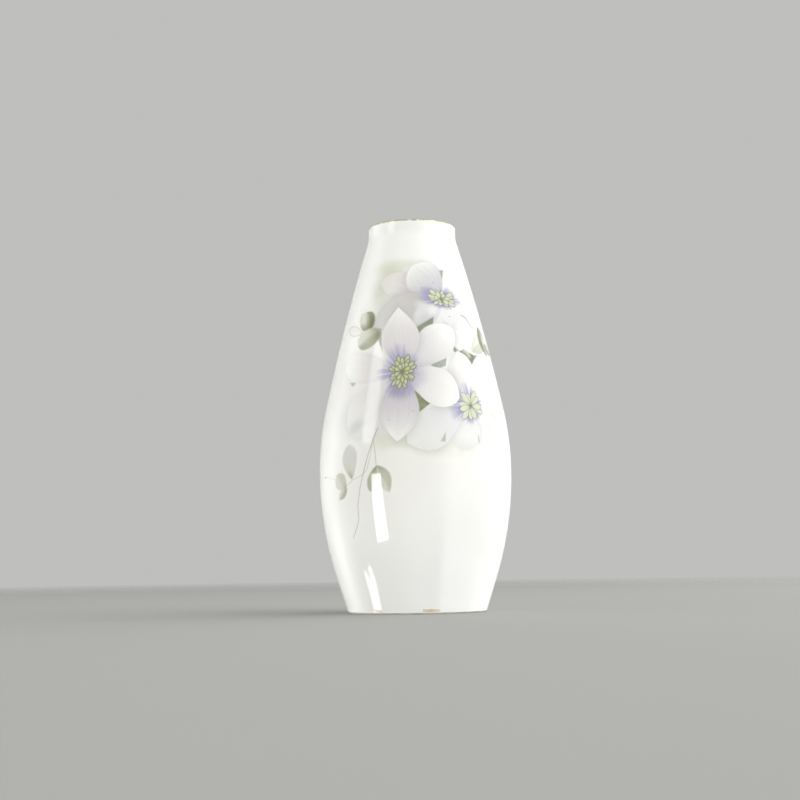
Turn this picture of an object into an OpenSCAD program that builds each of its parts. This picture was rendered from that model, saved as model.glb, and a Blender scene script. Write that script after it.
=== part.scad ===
// Flower vase: a slip-cast porcelain shell with its fired-on coats.
// +Z is up, the origin is the middle of the foot, and every size is in millimetres.

/* [Outline] */
// Height of the finished vase, from the surface that it stands on to the gilded lip
height = 160; // [158:1:164]
// Outer radius at the widest point
belly_r = 39.5; // [38:0.1:42]
// Height of the widest point
belly_z = 57.5; // [56:0.5:59]
// Radius of the arc that runs from the belly down to the straight foot wall
lower_arc_r = 142; // [135:1:150]
// Height at which the lower arc turns into the straight foot wall
foot_wall_z = 14; // [12:1:18]
// Radius of the tight arc just above the belly
upper_arc_r = 120; // [115:1:125]
// Lean of the wall where the tight arc meets the long shoulder arc, in degrees from upright
shoulder_lean = 12.0; // [11.8:0.1:12.6]
// Radius of the long shoulder arc, which is nearly straight
shoulder_arc_r = 850; // [820:10:900]
// Lean of the wall where the shoulder arc meets the neck, in degrees from upright
neck_lean = 16.9; // [16.6:0.1:17]
// Radius of the hollow between the shoulder and the upright collar
neck_fillet_r = 12; // [8:1:14]

/* [Wall] */
// Thickness of the whole wall at the foot, glaze included
wall_foot = 3.6; // [3.2:0.1:4]
// Thickness of the whole wall at the lip, glaze included
wall_lip = 2.4; // [2.2:0.1:2.8]
// Thickness of each coat of glaze
glaze_t = 0.2; // [0.15:0.05:0.3]
// Thickness of the floor of the vase above its recess, glaze included
floor_t = 4; // [3:0.5:5]
// Radius of the rounding between the floor and the wall inside
floor_fillet_r = 9; // [7:1:10]

/* [Foot] */
// Width of the bare ring that the vase stands on
foot_ring_w = 3; // [2.5:0.1:4]
// Depth of the recess inside the foot ring
recess_depth = 1.8; // [1.5:0.1:2.2]
// Bevel of the foot ring's edges, which also sets how far the glaze stops above the table
foot_bevel = 0.6; // [0.5:0.1:0.8]

/* [Gilding] */
// Thickness of the fired gold
gold_t = 0.08; // [0.04:0.01:0.1]
// How far the gold runs down from the lip's crest, inside and outside
rim_gold_drop = 1.0; // [0.6:0.1:1.1]
// Width of the gold line above the foot
foot_gold_w = 1.1; // [0.8:0.1:1.5]
// Height of the lower edge of that line
foot_gold_z = 0.9; // [0.8:0.1:1.2]

/* [Transfers] */
// Thickness of a fired transfer print
film_t = 0.1; // [0.04:0.01:0.12]
// Size of the printed flowers and leaves, against the size that they are drawn at below
print_scale = 1; // [0.9:0.01:1.05]
// Width of the printed stems
stem_w = 0.8; // [0.6:0.1:1.2]

/* [Hidden] */
$fn = 96;

// Remaining lengths of the gold foot line: where each starts and how far it runs, in degrees.
foot_gold_arcs = [[-37, 8], [3, 15], [98, 22], [135, 9], [173, 31], [232, 12], [268, 10]];

// The printed flowers: angle round the vase from the front, counted to the right, height of
// the centre, and each petal as [direction, length, width]. A direction counts clockwise from up.
flowers = [
    [-8, 94, [[-5, 27, 15], [48, 26, 15], [115, 24, 15], [182, 28, 16], [218, 33, 20], [281, 24, 14]]],
    [24, 125, [[-23, 16, 14], [60, 17, 13], [140, 22, 14], [223, 17, 13], [252, 26, 12], [291, 22, 10]]],
    [36, 81, [[-13, 21, 13], [33, 25, 13], [90, 22, 15], [132, 20, 15], [196, 17, 15], [240, 30, 15]]]
];
// Leaves that show between the petals: [angle round the vase, height, direction, length, width].
spray_leaves = [[-34, 113, -45, 11, 9], [-26, 110, -75, 13, 8], [46, 106, 60, 14, 8], [50, 102, 20, 16, 7]];
// The sprig below them, drawn on a plane that faces this many degrees from the front.
sprig_angle = -35;
// Its stems, as points [to the right, up].
sprig_stems = [
    [[9, 73], [7, 67], [5, 62], [2.5, 56], [0.5, 50], [-1, 44], [-1.5, 35], [-5, 29.5]],
    [[1.8, 54.5], [0, 53], [-2.5, 52], [-7, 49.5]],
    [[7, 67], [7.8, 62.5], [8.2, 58]],
    [[-12.5, 50.5], [-16, 50.5], [-19.5, 54]]
];
// Its leaves: [base, direction, length, width].
sprig_leaves = [
    [[-3.5, 52.5], 12, 13.5, 4.5], [[-7, 49.5], -65, 5.5, 4],
    [[8.4, 58.2], 195, 11, 4], [[8.2, 58.2], 158, 12.5, 5]
];

ivory = [0.95, 0.95, 0.93];
bisque = [0.86, 0.84, 0.79];
gold = [0.80, 0.66, 0.33];
lilac = [0.86, 0.85, 0.90];
leaf_green = [0.62, 0.65, 0.50];

// Steps along each arc of the outline.
lower_steps = 12;
upper_steps = 8;
shoulder_steps = 10;
neck_steps = 6;
lip_steps = 12;
fillet_steps = 8;
petal_steps = 10;

lip_z = height - gold_t;                    // top of the glaze, under the gold

// Each station of the outline is [radius, height, lean], where lean is the angle of the
// outward normal above level. The stations run upwards and are tangent to each other.
low_centre = [belly_r - lower_arc_r, belly_z];
low_lean = -asin((belly_z - foot_wall_z) / lower_arc_r);
low_end = low_centre + lower_arc_r * [cos(low_lean), sin(low_lean)];
up_centre = [belly_r - upper_arc_r, belly_z];
up_end = up_centre + upper_arc_r * [cos(shoulder_lean), sin(shoulder_lean)];
shoulder_centre = up_end - shoulder_arc_r * [cos(shoulder_lean), sin(shoulder_lean)];
shoulder_end = shoulder_centre + shoulder_arc_r * [cos(neck_lean), sin(neck_lean)];
neck_centre = shoulder_end + neck_fillet_r * [cos(neck_lean), sin(neck_lean)];
collar_r = neck_centre[0] - neck_fillet_r;
collar_z = neck_centre[1];
foot_r = low_end[0] + tan(low_lean) * foot_wall_z;

function on_arc(centre, r, lean) = centre + r * [cos(lean), sin(lean)];
function station(centre, r, lean) = concat(on_arc(centre, r, lean), [lean]);

function stations() = concat(
    [[foot_r, 0, low_lean]],
    [for (i = [0 : lower_steps]) station(low_centre, lower_arc_r, low_lean * (1 - i / lower_steps))],
    [for (i = [1 : upper_steps]) station(up_centre, upper_arc_r, shoulder_lean * i / upper_steps)],
    [for (i = [1 : shoulder_steps])
        station(shoulder_centre, shoulder_arc_r,
                shoulder_lean + (neck_lean - shoulder_lean) * i / shoulder_steps)],
    [for (i = [1 : neck_steps])
        station(neck_centre, -neck_fillet_r, neck_lean * (1 - i / neck_steps))]
);

// Whole thickness of the wall at a height: it thins evenly up to the collar, whose faces are parallel.
function wall_at(z) = wall_foot + (wall_lip - wall_foot) * min(1, z / collar_z);

// The outline moved inwards by a depth, as points from the foot to the collar.
function outside(depth) = [for (s = stations()) [s[0] - depth * cos(s[2]), s[1] - depth * sin(s[2])]];

// The point of the wall's inner face across from a station, a depth under that face.
function across(s, depth) =
    let (t = wall_at(s[1]) - depth)
    [s[0] - t * cos(s[2]), s[1] - t * sin(s[2])];

// The rounding between the floor and the wall inside touches both. The wall is straight there,
// so its lean sets where the arc ends and where its centre lies.
floor_top = recess_depth + floor_t;
fillet_end_z = floor_top + floor_fillet_r * (1 + sin(low_lean));
fillet_end_r = lookup(fillet_end_z, [for (s = stations()) let (p = across(s, 0)) [p[1], p[0]]]);
fillet_centre = [fillet_end_r - floor_fillet_r * cos(low_lean), floor_top + floor_fillet_r];

// The wall's inner face from above that rounding to the collar, a depth under the face.
function inside(depth) = [
    for (s = stations())
        let (p = across(s, depth))
        if (p[1] > fillet_end_z + 1) p
];

// That rounding, as points from the wall to the floor, a depth under the face.
function floor_fillet(depth) = [
    for (i = [0 : fillet_steps])
        on_arc(fillet_centre, floor_fillet_r + depth, low_lean - (90 + low_lean) * i / fillet_steps)
];

// The rounded lip between two faces of the wall, as points from the outside to the inside.
lip_half = wall_lip / 2;
lip_centre_r = collar_r - lip_half;
function lip(depth) = [
    for (i = [0 : lip_steps])
        let (a = 180 * i / lip_steps)
        [lip_centre_r + (lip_half - depth) * cos(a), lip_z - lip_half + (lip_half - depth) * sin(a)]
];

function reversed(list) = [for (i = [len(list) - 1 : -1 : 0]) list[i]];

// Cast shell: it lies under the glaze inside and out, and stands on its bare foot ring.
module porcelain_body() {
    skin = outside(glaze_t);
    ring_r = skin[0][0] - foot_bevel;
    color(bisque) rotate_extrude($fn = 96) polygon(concat(
        [[0, recess_depth + glaze_t],
         [ring_r - foot_ring_w - foot_bevel, recess_depth + glaze_t],
         [ring_r - foot_ring_w, 0],
         [ring_r, 0],
         [skin[0][0] + foot_bevel * tan(-low_lean), foot_bevel]],
        [for (p = skin) if (p[1] > foot_bevel + 1) p],
        lip(glaze_t),
        reversed(inside(glaze_t)),
        floor_fillet(glaze_t),
        [[0, floor_top - glaze_t]]));
}

// Clear glaze outside, from just above the foot ring to the crest of the lip.
module outer_glaze() {
    skin = outside(0);
    under = outside(glaze_t);
    lean = tan(-low_lean);
    crest = lip_steps / 2;
    color(ivory) rotate_extrude($fn = 96) polygon(concat(
        [[under[0][0] + foot_bevel * lean, foot_bevel], [skin[0][0] + foot_bevel * lean, foot_bevel]],
        [for (p = skin) if (p[1] > foot_bevel + 1) p],
        [for (i = [0 : crest]) lip(0)[i]],
        [for (i = [crest : -1 : 0]) lip(glaze_t)[i]],
        [for (p = reversed(under)) if (p[1] > foot_bevel + 1) p]));
}

// Clear glaze inside, from the crest of the lip down over the floor.
module inner_glaze() {
    crest = lip_steps / 2;
    color(ivory) rotate_extrude($fn = 96) polygon(concat(
        [for (i = [crest : lip_steps]) lip(0)[i]],
        reversed(inside(0)),
        floor_fillet(0),
        [[0, floor_top], [0, floor_top - glaze_t]],
        reversed(floor_fillet(glaze_t)),
        inside(glaze_t),
        [for (i = [lip_steps : -1 : crest]) lip(glaze_t)[i]]));
}

// Glazed disc inside the foot ring, clear of the table.
module base_glaze() {
    ring_r = outside(glaze_t)[0][0] - foot_bevel;
    color(ivory) translate([0, 0, recess_depth])
        cylinder(h = glaze_t, r = ring_r - foot_ring_w - foot_bevel, $fn = 96);
}

// Gold line over the crest of the lip.
module rim_gilding() {
    a0 = asin((lip_half - rim_gold_drop) / lip_half);
    function crest(r) = [for (i = [0 : lip_steps])
        let (a = a0 + (180 - 2 * a0) * i / lip_steps)
        [lip_centre_r + r * cos(a), lip_z - lip_half + r * sin(a)]];
    color(gold) rotate_extrude($fn = 96)
        polygon(concat(crest(lip_half + gold_t), reversed(crest(lip_half))));
}

// What is left of the gold line round the foot.
module foot_gilding() {
    lean = tan(-low_lean);
    z0 = foot_gold_z;
    z1 = foot_gold_z + foot_gold_w;
    for (a = foot_gold_arcs)
        color(gold) rotate([0, 0, a[0] - 90]) rotate_extrude(angle = a[1], $fn = 96) polygon([
            [foot_r + z0 * lean, z0],
            [foot_r + z0 * lean + gold_t, z0],
            [foot_r + z1 * lean + gold_t, z1],
            [foot_r + z1 * lean, z1]]);
}

// A film that follows the glaze between two heights, all the way round.
module film(low_z, high_z) {
    // Radius of the outline at a height, between its stations.
    function radius_at(z) = lookup(z, [for (s = stations()) [s[1], s[0]]]);
    heights = concat([low_z],
        [for (s = stations()) if (s[1] > low_z + 0.5 && s[1] < high_z - 0.5) s[1]], [high_z]);
    face = [for (z = heights) [radius_at(z), z]];
    rotate_extrude($fn = 96) polygon(concat([for (p = face) p + [film_t, 0]], reversed(face)));
}

// A petal or leaf: it starts at the origin, runs along +Y and comes to a point.
module petal(long, wide) {
    side = [for (i = [0 : petal_steps])
        let (t = i / petal_steps)
        [wide / 2 * pow(sin(180 * pow(t, 0.8)), 0.8), long * t]];
    polygon(concat(side, [for (i = [petal_steps - 1 : -1 : 1]) [-side[i][0], side[i][1]]]));
}

// A band of even width along a line of points.
module band(points, wide) {
    last = len(points) - 1;
    sides = [for (i = [0 : last])
        let (d = points[min(i + 1, last)] - points[max(i - 1, 0)])
        wide / 2 / norm(d) * [d[1], -d[0]]];
    polygon(concat([for (i = [0 : last]) points[i] + sides[i]],
                   [for (i = [last : -1 : 0]) points[i] - sides[i]]));
}

// Sweeps a flat drawing straight outwards through the wall, facing an angle round the vase.
module outwards(angle) {
    rotate([0, 0, angle]) rotate([90, 0, 0]) translate([0, 0, 6]) linear_extrude(belly_r) children();
}

// Film that carries the flowers and the leaves between them.
module flower_spray_transfer() {
    color(lilac) intersection() {
        film(60, 146);
        union() {
            for (f = flowers) outwards(f[0]) translate([0, f[1]]) {
                circle(r = 5, $fn = 24);
                for (p = f[2]) rotate(-p[0]) petal(p[1] * print_scale, p[2] * print_scale);
            }
            for (l = spray_leaves) outwards(l[0]) translate([0, l[1]])
                rotate(-l[2]) petal(l[3] * print_scale, l[4] * print_scale);
        }
    }
}

// Film that carries the trailing stems and their leaves.
module leaf_sprig_transfer() {
    color(leaf_green) intersection() {
        film(24, 76);
        outwards(sprig_angle) {
            for (p = sprig_stems) band(p, stem_w);
            for (l = sprig_leaves) translate(l[0])
                rotate(-l[1]) petal(l[2] * print_scale, l[3] * print_scale);
        }
    }
}

porcelain_body();
outer_glaze();
inner_glaze();
base_glaze();
rim_gilding();
foot_gilding();
flower_spray_transfer();
leaf_sprig_transfer();
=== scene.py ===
"""Flower vase: glazed porcelain with a worn gold lip, a printed spray of flowers and a leaf sprig.

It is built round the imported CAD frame. The vase's sizes are in millimetres up to the point where
a mesh is made; materials, lights and the camera are in metres. +Z is up, and -Y is the printed side.
"""
import math
import bmesh
import bpy
import numpy as np
from mathutils import Matrix


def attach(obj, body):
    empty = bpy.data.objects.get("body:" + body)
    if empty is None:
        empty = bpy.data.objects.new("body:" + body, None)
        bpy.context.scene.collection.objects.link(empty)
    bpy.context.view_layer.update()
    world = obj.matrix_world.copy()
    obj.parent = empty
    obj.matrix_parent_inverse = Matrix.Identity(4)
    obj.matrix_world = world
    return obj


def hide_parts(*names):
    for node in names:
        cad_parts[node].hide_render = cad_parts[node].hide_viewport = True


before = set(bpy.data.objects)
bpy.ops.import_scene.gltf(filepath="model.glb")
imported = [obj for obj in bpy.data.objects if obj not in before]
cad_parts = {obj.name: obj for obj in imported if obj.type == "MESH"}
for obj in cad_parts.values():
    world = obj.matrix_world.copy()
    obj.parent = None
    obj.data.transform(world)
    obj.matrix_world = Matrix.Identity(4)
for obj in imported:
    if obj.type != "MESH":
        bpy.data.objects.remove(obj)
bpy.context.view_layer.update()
MM = 0.001

# ---------------------------------------------------------------- sizes, as in the CAD part
HEIGHT = 160.0
BELLY_R, BELLY_Z = 39.5, 57.5
LOWER_ARC_R, FOOT_WALL_Z = 142.0, 14.0
UPPER_ARC_R, SHOULDER_LEAN = 120.0, math.radians(12.0)
SHOULDER_ARC_R, NECK_LEAN = 850.0, math.radians(16.9)
NECK_FILLET_R = 12.0
WALL_FOOT, WALL_LIP = 3.6, 2.4
GLAZE_T, FLOOR_T, FLOOR_FILLET_R = 0.2, 4.0, 9.0
FOOT_RING_W, RECESS_DEPTH, FOOT_BEVEL = 3.0, 1.8, 0.6
GOLD_T, RIM_GOLD_DROP = 0.08, 1.0
FOOT_GOLD_W, FOOT_GOLD_Z = 1.1, 0.9
FOOT_GOLD_ARCS = ((-37, 8), (3, 15), (98, 22), (135, 9), (173, 31), (232, 12), (268, 10))

# How finely the shapes are divided.
SEGMENTS = 240                          # round the vase
WALL_STEP, ARC_STEP = 0.5, 1.0          # mm between rings of the foot wall and of the arcs
FILLET_POINTS, LIP_POINTS = 15, 16


# ---------------------------------------------------------------- outline

def on_arc(centre, r, lean):
    """The point of a circle, in radius and height, where the outline leans by this angle."""
    return np.array((centre[0] + r * math.cos(lean), centre[1] + r * math.sin(lean)))


def stations():
    """The outline from the foot to the collar, as rows of radius, height and lean of the wall."""
    low_centre = (BELLY_R - LOWER_ARC_R, BELLY_Z)
    low_lean = -math.asin((BELLY_Z - FOOT_WALL_Z) / LOWER_ARC_R)
    low_end = on_arc(low_centre, LOWER_ARC_R, low_lean)
    foot_r = low_end[0] + math.tan(low_lean) * FOOT_WALL_Z
    up_centre = (BELLY_R - UPPER_ARC_R, BELLY_Z)
    up_end = on_arc(up_centre, UPPER_ARC_R, SHOULDER_LEAN)
    shoulder_centre = up_end - on_arc((0, 0), SHOULDER_ARC_R, SHOULDER_LEAN)
    shoulder_end = on_arc(shoulder_centre, SHOULDER_ARC_R, NECK_LEAN)
    neck_centre = shoulder_end + on_arc((0, 0), NECK_FILLET_R, NECK_LEAN)
    rows = []
    for z in np.arange(0, FOOT_WALL_Z - WALL_STEP / 2, WALL_STEP):
        rows.append((foot_r - math.tan(low_lean) * z, z, low_lean))
    for centre, r, lean0, lean1, spacing in (
            (low_centre, LOWER_ARC_R, low_lean, 0, ARC_STEP),
            (up_centre, UPPER_ARC_R, 0, SHOULDER_LEAN, ARC_STEP),
            (shoulder_centre, SHOULDER_ARC_R, SHOULDER_LEAN, NECK_LEAN, ARC_STEP),
            (neck_centre, -NECK_FILLET_R, NECK_LEAN, 0, ARC_STEP / 4)):
        count = max(2, int(abs(r * (lean1 - lean0)) / spacing))
        for i in range(count):
            lean = lean0 + (lean1 - lean0) * i / count
            rows.append((*on_arc(centre, r, lean), lean))
    rows.append((neck_centre[0] - NECK_FILLET_R, neck_centre[1], 0.0))
    return np.array(rows)


OUTLINE = stations()
FOOT_R, LOW_LEAN = OUTLINE[0, 0], OUTLINE[0, 2]
COLLAR_R, COLLAR_Z = OUTLINE[-1, 0], OUTLINE[-1, 1]
LIP_Z = HEIGHT - GOLD_T
LIP_HALF = WALL_LIP / 2
LIP_CENTRE = (COLLAR_R - LIP_HALF, LIP_Z - LIP_HALF)


def radius_at(z):
    return np.interp(z, OUTLINE[:, 1], OUTLINE[:, 0])


def lean_at(z):
    return np.interp(z, OUTLINE[:, 1], OUTLINE[:, 2])


def inwards(depth):
    """Points that lie a depth under the outline, upwards."""
    r, z, lean = OUTLINE.T
    return np.stack((r - depth * np.cos(lean), z - depth * np.sin(lean)), 1)


FLOOR_TOP = RECESS_DEPTH + FLOOR_T
FILLET_END_Z = FLOOR_TOP + FLOOR_FILLET_R * (1 + math.sin(LOW_LEAN))


def wall_inside(depth):
    """Points of the wall's inner face, a depth under that face, above the rounding at the floor."""
    wall = WALL_FOOT + (WALL_LIP - WALL_FOOT) * np.minimum(1, OUTLINE[:, 1] / COLLAR_Z)
    points = inwards(wall - depth)
    return points[points[:, 1] > FILLET_END_Z + 1]


def floor_rounding(depth):
    """The rounding between the inside of the wall and the floor, from the wall to the floor."""
    inner = inwards(WALL_FOOT + (WALL_LIP - WALL_FOOT) * OUTLINE[:, 1] / COLLAR_Z)
    end_r = np.interp(FILLET_END_Z, inner[:, 1], inner[:, 0])
    centre = (end_r - FLOOR_FILLET_R * math.cos(LOW_LEAN), FLOOR_TOP + FLOOR_FILLET_R)
    turns = np.linspace(LOW_LEAN, -math.pi / 2, FILLET_POINTS)
    return np.array([on_arc(centre, FLOOR_FILLET_R + depth, a) for a in turns])


def lip(depth, start=0, end=180):
    """The rounded lip a depth under its surface, from the outside over the crest to the inside."""
    turns = np.radians(np.linspace(start, end, LIP_POINTS))
    return np.array([on_arc(LIP_CENTRE, LIP_HALF - depth, a) for a in turns])


# ---------------------------------------------------------------- meshes

def finished(name, mesh, material, replaces, sharp=35):
    """Makes a visible piece of a mesh, with smooth shading up to an edge angle in degrees."""
    work = bmesh.new()
    work.from_mesh(mesh)
    bmesh.ops.recalc_face_normals(work, faces=work.faces)
    work.to_mesh(mesh)
    work.free()
    mesh.shade_smooth()
    mesh.set_sharp_from_angle(angle=math.radians(sharp))
    piece = bpy.data.objects.new(name, mesh)
    bpy.context.scene.collection.objects.link(piece)
    mesh.materials.append(material)
    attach(piece, "root")
    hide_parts(*replaces)
    return piece


def lathe(name, profile, material, replaces):
    """A closed solid turned round +Z from a closed profile of (radius, height) points."""
    turns = np.arange(SEGMENTS) * 2 * math.pi / SEGMENTS
    verts, rings = [], []
    for r, z in profile:
        if r == 0:
            rings.append([len(verts)] * SEGMENTS)
            verts.append((0, 0, z * MM))
            continue
        rings.append(list(range(len(verts), len(verts) + SEGMENTS)))
        verts += [(r * MM * math.sin(a), -r * MM * math.cos(a), z * MM) for a in turns]
    faces = []
    for below, above in zip(rings, rings[1:] + rings[:1]):
        for i in range(SEGMENTS):
            j = (i + 1) % SEGMENTS
            corners = list(dict.fromkeys((below[i], below[j], above[j], above[i])))
            if len(corners) > 2:
                faces.append(corners)
    mesh = bpy.data.meshes.new(name)
    mesh.from_pydata(verts, [], faces)
    return finished(name, mesh, material, replaces=replaces)


def grid_faces(rows, columns, start=0, flip=False, wrap=False):
    """Faces of a grid of vertices, stored row by row."""
    index = start + np.arange(rows * columns).reshape(rows, columns)
    if wrap:
        index = np.concatenate((index, index[:, :1]), 1)
    a, b, c, d = index[:-1, :-1], index[:-1, 1:], index[1:, 1:], index[1:, :-1]
    faces = np.stack((a, b, c, d), -1).reshape(-1, 4)
    return faces[:, ::-1] if flip else faces


def spaced(*stretches):
    """Grid lines with a spacing of their own on each stretch: start, spacing, start, ..., end."""
    lines = []
    for start, step, end in zip(stretches[::2], stretches[1::2], stretches[2::2]):
        lines.append(np.linspace(start, end, max(2, round((end - start) / step)) + 1)[:-1])
    return np.concatenate(lines + [[stretches[-1]]])


def linear(colour):
    """A colour as a screen shows it, turned into amounts of light."""
    c = np.asarray(colour, float)
    return np.where(c <= 0.04045, c / 12.92, ((c + 0.055) / 1.055) ** 2.4)


# ---------------------------------------------------------------- the print

# Places on the print are mm round the vase, counted to the right from the front, and mm up.

def smooth(x, low, high):
    """A soft step from 0 below low to 1 above high."""
    t = np.clip((x - low) / (high - low), 0, 1)
    return t * t * (3 - 2 * t)


HASH = (127.1, 311.7, 74.7, 43758.5453)     # scramble a cell's place and a seed into a random value


def noise(x, y, seed=0.0):
    """Smooth random values from 0 to 1, one cell per unit."""
    xi, yi = np.floor(x), np.floor(y)
    fx, fy = x - xi, y - yi
    fx, fy = fx * fx * (3 - 2 * fx), fy * fy * (3 - 2 * fy)

    def corner(i, j):
        h = np.sin(i * HASH[0] + j * HASH[1] + seed * HASH[2]) * HASH[3]
        return h - np.floor(h)

    low = corner(xi, yi) * (1 - fx) + corner(xi + 1, yi) * fx
    high = corner(xi, yi + 1) * (1 - fx) + corner(xi + 1, yi + 1) * fx
    return low * (1 - fy) + high * fy


# Colours of the ink, as a screen shows them.
WHITE = (0.93, 0.928, 0.90)
LILAC = (0.775, 0.76, 0.78)
BLUSH = (0.86, 0.82, 0.80)
VIOLET = (0.60, 0.58, 0.73)
SHADE = (0.775, 0.782, 0.785)
WARM = (0.69, 0.68, 0.665)
COOL = (0.79, 0.795, 0.815)
HAZE = (0.84, 0.845, 0.775)
GAP = (0.54, 0.565, 0.475)
LEAF_DARK = (0.445, 0.46, 0.325)
LEAF_MID = (0.745, 0.75, 0.68)
LEAF_PALE = (0.835, 0.835, 0.785)
STEM = (0.62, 0.62, 0.53)
ANTHER = (0.625, 0.645, 0.47)
ANTHER_PALE = (0.86, 0.875, 0.81)
ANTHER_LINE = (0.47, 0.485, 0.37)

PETAL_SHADOW = 0.16     # how much a petal darkens the ink that lies under its edge


def blend(one, other, share):
    """A colour part of the way from one colour to another."""
    return tuple(a + (b - a) * share for a, b in zip(one, other))


class Layer:
    """Colour of one petal or leaf, mixed up before it is laid on the print."""
    def __init__(self, colour, shape):
        self.colour = np.broadcast_to(np.asarray(colour, float), shape + (3,)).copy()

    def mix(self, to, amount):
        self.colour += (np.asarray(to, float) - self.colour) * np.asarray(amount)[..., None]


class Print:
    """Colour and cover of the ink on a grid of points, in mm round and up the vase."""
    def __init__(self, across, up):
        self.across, self.up = across, up
        self.u, self.v = np.meshgrid(across, up)
        self.cover = np.zeros(self.u.shape)
        self.ink = np.zeros(self.u.shape + (3,))

    def near(self, at, reach):
        """The part of the print within a distance of a point; painting it paints the whole."""
        part = object.__new__(Print)
        i0, i1 = np.searchsorted(self.across, (at[0] - reach, at[0] + reach))
        j0, j1 = np.searchsorted(self.up, (at[1] - reach, at[1] + reach))
        part.across, part.up = self.across[i0:i1], self.up[j0:j1]
        for name in ('u', 'v', 'cover', 'ink'):
            setattr(part, name, getattr(self, name)[j0:j1, i0:i1])
        return part

    def over(self, colour, amount):
        """Lays ink over what is there. The colour that is kept is already thinned by its cover."""
        self.ink += (np.asarray(colour, float) - self.ink) * amount[..., None]
        self.cover += (1 - self.cover) * amount

    def darken(self, amount):
        """Shadow of a petal on what lies under it, bare glaze included."""
        self.ink *= 1 - PETAL_SHADOW * amount[..., None]
        self.ink += np.asarray(SHADE) * (amount * (1 - self.cover))[..., None]
        self.cover += (1 - self.cover) * amount

    def local(self, at, turn):
        """Distance along a direction, counted clockwise from up, and to its right."""
        a = math.radians(turn)
        du, dv = self.u - at[0], self.v - at[1]
        return du * math.sin(a) + dv * math.cos(a), du * math.cos(a) - dv * math.sin(a)

    def blade(self, at, turn, long, wide, widest, tip, bend=0.0):
        """Place in a petal or leaf: share of its length, distance in from its edge, and side.

        The share widest says where it is widest, and a small tip makes its ends blunt."""
        x, y = self.local(at, turn)
        t = np.clip(x / long, 0, 1)
        y = y - bend * t * t * long
        power = math.log(0.5) / math.log(widest)

        def half(s):
            return wide / 2 * np.sin(math.pi * np.clip(s, 0, 1) ** power) ** tip

        w = half(t)
        slope = np.clip((half(t + 0.02) - half(t - 0.02)) / (0.04 * long), -3, 3)
        inside = (w - np.abs(y)) / np.sqrt(1 + slope ** 2)
        inside = np.where((x < 0) | (x > long), -np.hypot(np.maximum(-x, x - long), y), inside)
        return t, inside, y / np.maximum(w, 0.3)

    def petal(self, at, turn, long, wide, widest=0.58, tip=0.85, bend=0.0, tint=0.5, shadow=0.5,
              side=0.0, soft=0.3, blush=0.0, fade=1.0, end=0.0, tone=LILAC, shade=SHADE, seed=0):
        """White petal: tone runs out from its foot, and shade lies along one side and at its end."""
        p = self.near(at, long + 5)
        t, inside, s = p.blade(at, turn, long, wide, widest, tip, bend)
        beside = np.exp(-np.clip(-inside, 0, 9) / 1.2)
        p.darken(shadow * beside * smooth(t, 0.05, 0.3) * smooth(inside, -4.5, -1.5))
        body = Layer(WHITE, p.u.shape)
        streak = noise(s * wide * 0.9 + seed * 7, t * long * 0.12, seed)
        body.mix(BLUSH, blush * smooth(t, 0.2, 0.45) * smooth(-t, -0.85, -0.55) * (0.6 + 0.4 * streak))
        reach = 0.92 + 0.16 * (streak - 0.5)
        body.mix(tone, tint * np.clip(1 - t / reach, 0, 1) ** 0.7)
        body.mix(shade, abs(side) * smooth(s * np.sign(side or 1), -0.4, 1.1) * smooth(t, 0.1, 0.5))
        fine = noise(s * wide * 2.6 + 31 * seed, t * long * 0.25, seed + 3)
        body.mix(tone, 0.07 * smooth(fine, 0.5, 1.0) * smooth(-t, -0.95, -0.4))
        body.mix(shade, end * smooth(t, 0.6, 1.0))
        p.over(body.colour, fade * smooth(inside, -soft / 2, soft / 2))

    def leaf(self, at, turn, long, wide, widest=0.5, tip=0.8, bend=0.0, dark=1.0, turned=1.0,
             pale=0.0, wash=0.0, seed=0):
        """Leaf with one dark half. A pale leaf is little more than its outline."""
        p = self.near(at, long + 3)
        t, inside, s = p.blade(at, turn, long, wide, widest, tip, bend)
        body = Layer(LEAF_MID, p.u.shape)
        blotch = noise(p.u * 0.5 + seed, p.v * 0.5, seed)
        half = s * turned
        body.mix(LEAF_PALE, np.clip(0.9 * smooth(-half, -0.25, 0.4) + 0.3 * blotch - 0.1, 0, 1))
        body.mix(LEAF_DARK, dark * smooth(half, -0.15, 0.5) * (0.55 + 0.45 * blotch))
        body.mix(LEAF_DARK, 0.7 * dark * smooth(-t, -0.55, -0.05))
        ribs = np.abs(((t * 6 - np.abs(s) * 1.6 + 0.3) % 1) - 0.5)
        body.mix(LEAF_DARK, 0.07 * smooth(-ribs, -0.14, 0))
        body.mix(LEAF_DARK, 0.3 * smooth(-np.abs(s) * wide, -0.9, -0.1) * smooth(-t, -0.8, -0.4))
        body.mix(LEAF_PALE, wash * smooth(t, 0.0, 0.35))
        p.over(body.colour, (1 - pale) * smooth(inside, -0.35, 0.45))
        if pale:
            p.over(LEAF_MID, pale * smooth(inside, -0.15, 0.1) * smooth(-inside, -0.5, -0.15))

    def stroke(self, points, wide, colour=STEM, amount=0.9):
        """A stem or tendril through points, uneven as if drawn with a brush."""
        far = np.full(self.u.shape, 99.0)
        for (u0, v0), (u1, v1) in zip(points, points[1:]):
            du, dv = u1 - u0, v1 - v0
            k = np.clip(((self.u - u0) * du + (self.v - v0) * dv) / (du * du + dv * dv), 0, 1)
            far = np.minimum(far, np.hypot(self.u - u0 - k * du, self.v - v0 - k * dv))
        uneven = 0.7 + 0.3 * noise(self.u * 0.6, self.v * 0.6, 3)
        self.over(colour, amount * uneven * smooth(-far, -wide / 2 - 0.12, -wide / 2 + 0.12))

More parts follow.
